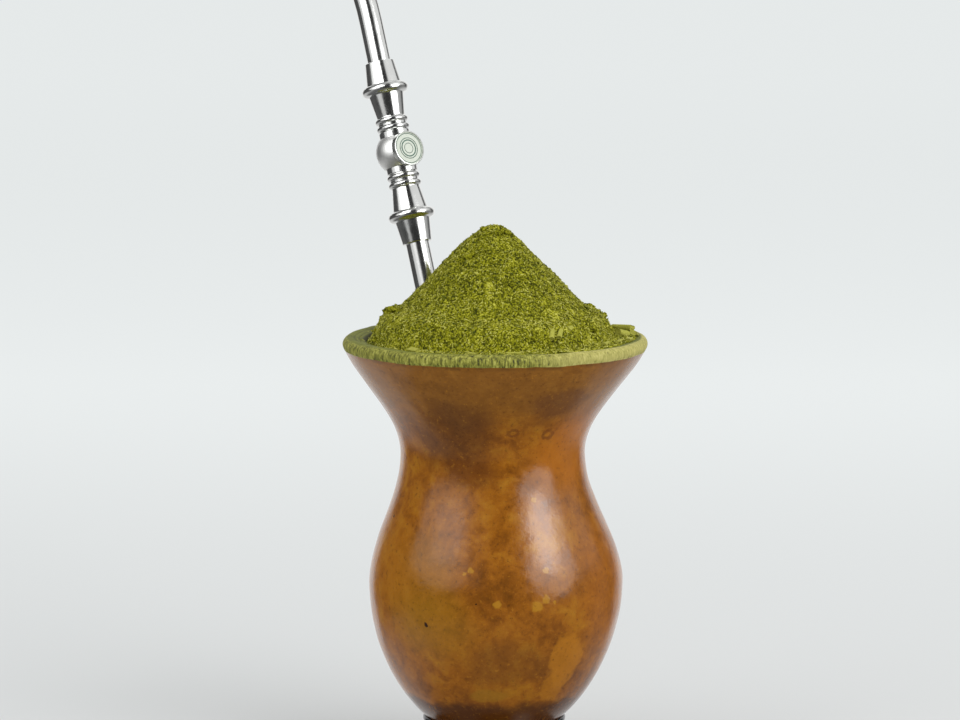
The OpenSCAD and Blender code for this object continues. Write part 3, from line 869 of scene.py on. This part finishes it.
def make_black_gloss():
    """Injection-moulded black plastic, glossy: a deep mirror-like black with faint flow marks."""
    made, tree, shader = new_material("glossy_black_plastic", Roughness=0.16, IOR=1.49)
    place = node(tree, "TexCoord", out="Object")
    cloud = node(tree, "TexNoise", {"Vector": place, "Scale": per_mm(8), "Detail": 3, "Roughness": 0.55})
    tint = node(tree, "Mix", {0: cloud, 6: "#0B0C0D", 7: "#15171A"}, 2, data_type="RGBA")
    smear = node(tree, "MapRange", {"Value": cloud, "From Min": 0.3, "From Max": 0.7, "To Min": 0.1,
                                    "To Max": 0.22})
    flow = node(tree, "TexNoise", {"Vector": place, "Scale": per_mm(12), "Detail": 1, "Roughness": 0.55})
    bump = node(tree, "Bump", {"Height": flow, "Distance": 0.05 * MM, "Strength": 0.2})
    plug(tree, shader, {"Base Color": tint, "Roughness": smear, "Normal": bump})
    return made


def dress(name, material):
    """Gives one of the part's own nodes its material."""
    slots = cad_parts[name].data.materials
    slots.clear()
    slots.append(material)


# ================ studio ================

FRONT_TILT = math.radians(90 - 7.757)


def make_camera():
    """A long lens a little above the mouth, looking slightly down."""
    data = bpy.data.cameras.new("camera")
    data.lens = 124.34
    data.sensor_width = 36
    camera = bpy.data.objects.new("camera", data)
    camera.location = Vector((-4.8, -1100, 290.4)) * MM
    camera.rotation_euler = (FRONT_TILT, 0, 0)
    bpy.context.scene.collection.objects.link(camera)
    bpy.context.scene.camera = camera


def make_floor():
    """A pale matt table top, painted darker near the camera and lighter away from it: painted shade."""
    bm = bmesh.new()
    bmesh.ops.create_circle(bm, cap_ends=True, segments=96, radius=30)
    made, tree, shader = new_material("matt_white_top", Roughness=0.9, Specular_IOR_Level=0.0)
    place = node(tree, "TexCoord", out="Object")
    distance = node(tree, "SeparateXYZ", {0: place}, "Y")
    # painted shade: darker near the camera, lighter over the first metre away from it and a little more
    # beyond
    top = blended(tree, "#D2D3D3", "#EEF0F0", distance, 0, 1)
    top = blended(tree, top, "#F0F2F2", distance, 2, 5)
    plug(tree, shader, {"Base Color": top})
    floor = mesh_object("floor", bm, [made])
    floor.visible_glossy = False


def make_softbox(name, azimuth, elevation, distance, size, power, mirrored):
    """An area light that faces the cup, either to light it or to be mirrored in it alone."""
    data = bpy.data.lights.new(name, "AREA")
    data.shape = "ELLIPSE"
    data.size, data.size_y = size
    data.energy = power
    light = bpy.data.objects.new(name, data)
    a, e = math.radians(azimuth), math.radians(elevation)
    way = Vector((math.sin(a) * math.cos(e), -math.cos(a) * math.cos(e), math.sin(e)))
    light.location = Vector((0, 0, MOUTH_Z)) + way * distance
    light.rotation_euler = way.to_track_quat("Z", "Y").to_euler()
    light.visible_glossy = mirrored
    light.visible_diffuse = not mirrored
    bpy.context.scene.collection.objects.link(light)


# What polished things see of the studio, by the angle to the right of the front: pale screens at
# the sides and behind, the dark room behind the camera, and black flags between the screens.
ROOM = [(-180, 1), (-147, 0.95), (-138, 0.06), (-97, 0.05), (-90, 0.5), (-20, 0.4), (-11, 0.05),
        (-4, 0.03), (27, 0.03), (36, 0.8), (116, 0.85), (121, 0.1), (134, 0.1), (139, 0.5), (148, 0.95),
        (180, 1)]
# The same below the height of the screens, where there is only the table and the room.
LOW_ROOM = [(-180, 1), (-149, 0.9), (-140, 0.07), (-90, 0.08), (-20, 0.03), (25, 0.03), (60, 0.15),
            (116, 0.25), (121, 0.1), (137, 0.1), (148, 0.9), (180, 1)]
# The same below that, on the table.
TABLE = [(-180, 0.75), (-135, 0.65), (-85, 0.42), (-45, 0.16), (45, 0.12), (90, 0.16), (135, 0.5),
         (180, 0.75)]


def all_round(levels):
    """Colour ramp stops from (angle, level) pairs, for a ramp that runs once round from behind."""
    return [((angle + 180) / 360, (level, level, level, 1)) for angle, level in levels]


def make_world():
    """A plain pale backdrop, and the banded room that only polished things see."""
    world = bpy.data.worlds.new("studio")
    bpy.context.scene.world = world
    world.use_nodes = True
    world.cycles.sampling_method = "NONE"
    tree = world.node_tree
    tree.nodes.clear()
    way = node(tree, "TexCoord", out="Generated")
    x, y, z = (node(tree, "SeparateXYZ", {0: way}, axis) for axis in "XYZ")
    front = node(tree, "Math", {0: y, 1: -1.0}, operation="MULTIPLY")
    turn = node(tree, "Math", {0: x, 1: front}, operation="ARCTAN2")
    share = node(tree, "MapRange", {"Value": turn, "From Min": -math.pi, "From Max": math.pi})
    rise = node(tree, "Math", {0: z}, operation="ARCSINE")
    height = node(tree, "Math", {0: rise}, operation="DEGREES")
    room, low_room, table = (node(tree, "ValToRGB", {"Fac": share}, stops=all_round(levels))
                             for levels in (ROOM, LOW_ROOM, TABLE))
    walls = blended(tree, low_room, room, height, 3, 18)
    walls = blended(tree, walls, "#BCBCBC", height, 60, 80)
    walls = blended(tree, walls, table, height, -14, -30)
    walls = blended(tree, walls, "#646464", height, -40, -56)
    plain = node(tree, "Background", {"Color": "#F4F6F6", "Strength": 1.0})
    mirrored = node(tree, "Background", {"Color": walls, "Strength": 1.0})
    ray = node(tree, "LightPath", out="Is Glossy Ray")
    both = node(tree, "MixShader", {0: ray, 1: plain, 2: mirrored})
    node(tree, "OutputWorld", {"Surface": both})


def make_studio():
    """Camera, table and light: two soft boxes light the cup, and the screens are only mirrored in it."""
    make_camera()
    make_floor()
    make_world()
    make_softbox("right_softbox", 48, 32, 0.9, (0.7, 0.7), 3.6, False)
    make_softbox("left_softbox", -60, 25, 0.9, (0.7, 0.7), 1.5, False)
    make_softbox("right_screen", 57, 14, 0.62, (0.56, 0.58), 1.9, True)
    make_softbox("right_screen_core", 56, 24, 0.62, (0.3, 0.28), 1.05, True)
    make_softbox("left_screen", -56, 19, 0.62, (0.72, 0.5), 0.62, True)
    make_softbox("left_screen_core", -53, 25, 0.62, (0.36, 0.26), 0.24, True)
    make_softbox("straw_screen", -44, 45, 0.367, (0.28, 0.26), 0.48, True)
    bpy.context.scene.view_settings.view_transform = "Standard"


# ================ everything together ================

gourd = make_gourd(make_varnished(), make_sanded())
make_mate(gourd)
polished = make_steel("polished_stainless_steel", 0.12, 0.2)
for part_name in ("straw_tube", "mouthpiece", "lower_sleeve", "upper_sleeve"):
    dress(part_name, polished)
dress("ball", make_steel("satin_stainless_steel", 0.4, 0.48, "#F0F1EF", "#F8F8F6"))
make_medallion(make_plate_materials())
dress("foot", make_black_gloss())
make_studio()
